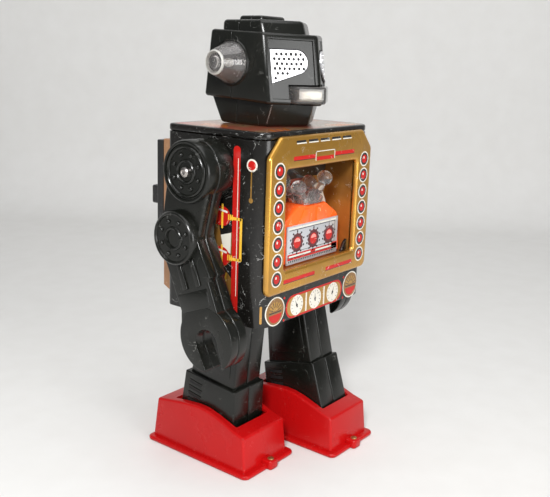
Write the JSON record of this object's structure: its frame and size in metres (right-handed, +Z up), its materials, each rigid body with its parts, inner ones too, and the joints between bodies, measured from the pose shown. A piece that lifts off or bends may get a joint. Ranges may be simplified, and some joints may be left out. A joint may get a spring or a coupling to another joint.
{
  "type": "battery-driven walking toy robot",
  "caption": "Walking toy robot in printed tin and plastic, with a lit model engine in a chest window, swinging arms, clawed hands and wheeled shoes.",
  "frame": {"origin": "on the floor under the middle of the robot's box", "axes": "+Z up, -Y the way the robot faces, -X its own right side"},
  "size_m": [0.16, 0.1248, 0.2808],
  "materials": {
    "charcoal_plastic": "satin, faintly pearly",
    "red_plastic": "gloss",
    "black_printed_tin": "gloss lithographed print",
    "gold_printed_tin": "gloss metallic lithographed print",
    "clear_plastic": "clear",
    "orange_plastic": "gloss, slightly translucent",
    "silver_printed_tin": "gloss lithographed print",
    "tan_plastic": "satin",
    "black_plastic": "satin",
    "zinc_plated_steel": "zinc plated",
    "brass": "bright",
    "white_nylon": "satin",
    "black_rubber": "matte",
    "cell_wrapper": "gloss film"
  },
  "bodies": {
    "torso": {"head_front_shell": "charcoal_plastic", "head_rear_shell": "charcoal_plastic", "eye_plate_right": "silver_printed_tin", "eye_plate_left": "silver_printed_tin", "mouth_lens": "clear_plastic", "ear_lens_right": "clear_plastic", "ear_lens_left": "clear_plastic", "body_wrap": "black_printed_tin", "body_top_cap": "black_printed_tin", "body_back_panel": "black_printed_tin", "body_base_plate": "zinc_plated_steel", "chest_bezel": "gold_printed_tin", "window_box": "gold_printed_tin", "engine_block": "orange_plastic", "engine_plate": "silver_printed_tin", "piston_guide": "clear_plastic", "chest_lamp": "clear_plastic", "battery_box": "tan_plastic", "switch_plate": "black_plastic", "battery_cell_right": "cell_wrapper", "battery_cell_left": "cell_wrapper", "cell_contact_strip": "brass", "gearbox_plate_right": "zinc_plated_steel", "gearbox_plate_left": "zinc_plated_steel", "gearbox_post_front": "zinc_plated_steel", "gearbox_post_rear": "zinc_plated_steel", "motor": "zinc_plated_steel", "hip_shaft": "zinc_plated_steel", "shoulder_shaft": "zinc_plated_steel"},
    "right_leg": {"leg_right_outer": "charcoal_plastic", "leg_right_inner": "charcoal_plastic"},
    "left_leg": {"leg_left_outer": "charcoal_plastic", "leg_left_inner": "charcoal_plastic"},
    "right_foot": {"shoe_right": "red_plastic", "sole_plate_right": "zinc_plated_steel", "ankle_pin_right": "zinc_plated_steel"},
    "left_foot": {"shoe_left": "red_plastic", "sole_plate_left": "zinc_plated_steel", "ankle_pin_left": "zinc_plated_steel"},
    "right_roller": {"roller_right": "black_rubber"},
    "left_roller": {"roller_left": "black_rubber"},
    "right_arm": {"arm_right_outer": "charcoal_plastic", "arm_right_inner": "charcoal_plastic", "shoulder_rivet_right": "zinc_plated_steel"},
    "left_arm": {"arm_left_outer": "charcoal_plastic", "arm_left_inner": "charcoal_plastic", "shoulder_rivet_left": "zinc_plated_steel"},
    "crank": {"crank_axle": "zinc_plated_steel", "crank_disc_right": "zinc_plated_steel", "crank_disc_left": "zinc_plated_steel", "gear_drive": "white_nylon"},
    "second_gear": {"gear_second": "white_nylon"},
    "first_gear": {"gear_first": "white_nylon"},
    "motor_pinion_body": {"motor_pinion": "brass"},
    "right_front_piston": {"piston_right_front": "clear_plastic"},
    "right_rear_piston": {"piston_right_rear": "clear_plastic"},
    "left_front_piston": {"piston_left_front": "clear_plastic"},
    "left_rear_piston": {"piston_left_rear": "clear_plastic"},
    "battery_door_body": {"battery_door": "black_plastic"},
    "switch_knob_body": {"switch_knob": "black_plastic"}
  },
  "joints": [
    {"name": "right_leg_swing", "type": "hinge", "parent": "torso", "child": "right_leg", "pos_m": [0, -0.00265, 0.1045], "axis": [1, 0, 0], "range_deg": [-18.87, 0]},
    {"name": "left_leg_swing", "type": "hinge", "parent": "torso", "child": "left_leg", "pos_m": [0, -0.00265, 0.1045], "axis": [1, 0, 0], "range_deg": [0, 18.87]},
    {"name": "right_ankle", "type": "hinge", "parent": "right_leg", "child": "right_foot", "pos_m": [0, 0.00965, 0.0305], "axis": [1, 0, 0], "range_deg": [0, 18.87]},
    {"name": "left_ankle", "type": "hinge", "parent": "left_leg", "child": "left_foot", "pos_m": [0, -0.01495, 0.0305], "axis": [1, 0, 0], "range_deg": [-18.87, 0]},
    {"name": "right_arm_swing", "type": "hinge", "parent": "torso", "child": "right_arm", "pos_m": [0, -0.00265, 0.1918], "axis": [1, 0, 0], "range_deg": [0, 9.44]},
    {"name": "left_arm_swing", "type": "hinge", "parent": "torso", "child": "left_arm", "pos_m": [0, -0.00265, 0.1918], "axis": [1, 0, 0], "range_deg": [-9.44, 0]},
    {"name": "right_roller_spin", "type": "hinge", "parent": "right_foot", "child": "right_roller", "pos_m": [0, -0.01235, 0.0072], "axis": [1, 0, 0], "continuous": true},
    {"name": "left_roller_spin", "type": "hinge", "parent": "left_foot", "child": "left_roller", "pos_m": [0, -0.03695, 0.0072], "axis": [1, 0, 0], "continuous": true},
    {"name": "crank_turn", "type": "hinge", "parent": "torso", "child": "crank", "pos_m": [0, -0.00265, 0.124], "axis": [1, 0, 0], "continuous": true},
    {"name": "second_gear_turn", "type": "hinge", "parent": "torso", "child": "second_gear", "pos_m": [0, -0.00265, 0.13795], "axis": [1, 0, 0], "continuous": true},
    {"name": "first_gear_turn", "type": "hinge", "parent": "torso", "child": "first_gear", "pos_m": [0, -0.00265, 0.1519], "axis": [1, 0, 0], "continuous": true},
    {"name": "motor_pinion_turn", "type": "hinge", "parent": "torso", "child": "motor_pinion_body", "pos_m": [0, -0.00265, 0.16585], "axis": [1, 0, 0], "continuous": true},
    {"name": "right_front_piston_slide", "type": "slide", "parent": "torso", "child": "right_front_piston", "axis": [-0.6428, 0, 0.766], "range_m": [0, 0.005]},
    {"name": "right_rear_piston_slide", "type": "slide", "parent": "torso", "child": "right_rear_piston", "axis": [-0.6428, 0, 0.766], "range_m": [-0.005, 0]},
    {"name": "left_front_piston_slide", "type": "slide", "parent": "torso", "child": "left_front_piston", "axis": [0.6428, 0, 0.766], "range_m": [-0.005, 0]},
    {"name": "left_rear_piston_slide", "type": "slide", "parent": "torso", "child": "left_rear_piston", "axis": [0.6428, 0, 0.766], "range_m": [0, 0.005]},
    {"name": "battery_door_hinge", "type": "hinge", "parent": "torso", "child": "battery_door_body", "pos_m": [0, 0.05335, 0.1368], "axis": [-1, 0, 0], "range_deg": [0, 95]},
    {"name": "switch_slide", "type": "slide", "parent": "torso", "child": "switch_knob_body", "axis": [0, 0, 1], "range_m": [0, 0.007]}
  ],
  "couplings": [
    {"joint": "left_leg_swing", "follows": "right_leg_swing", "ratio": -1},
    {"joint": "right_ankle", "follows": "right_leg_swing", "ratio": -1},
    {"joint": "left_ankle", "follows": "right_leg_swing", "ratio": 1},
    {"joint": "right_arm_swing", "follows": "right_leg_swing", "ratio": -0.5},
    {"joint": "left_arm_swing", "follows": "right_leg_swing", "ratio": 0.5},
    {"joint": "first_gear_turn", "follows": "motor_pinion_turn", "ratio": -0.27778},
    {"joint": "second_gear_turn", "follows": "motor_pinion_turn", "ratio": 0.077161},
    {"joint": "crank_turn", "follows": "motor_pinion_turn", "ratio": -0.021434},
    {"joint": "left_rear_piston_slide", "follows": "right_front_piston_slide", "ratio": 1},
    {"joint": "right_rear_piston_slide", "follows": "right_front_piston_slide", "ratio": -1},
    {"joint": "left_front_piston_slide", "follows": "right_front_piston_slide", "ratio": -1}
  ]
}
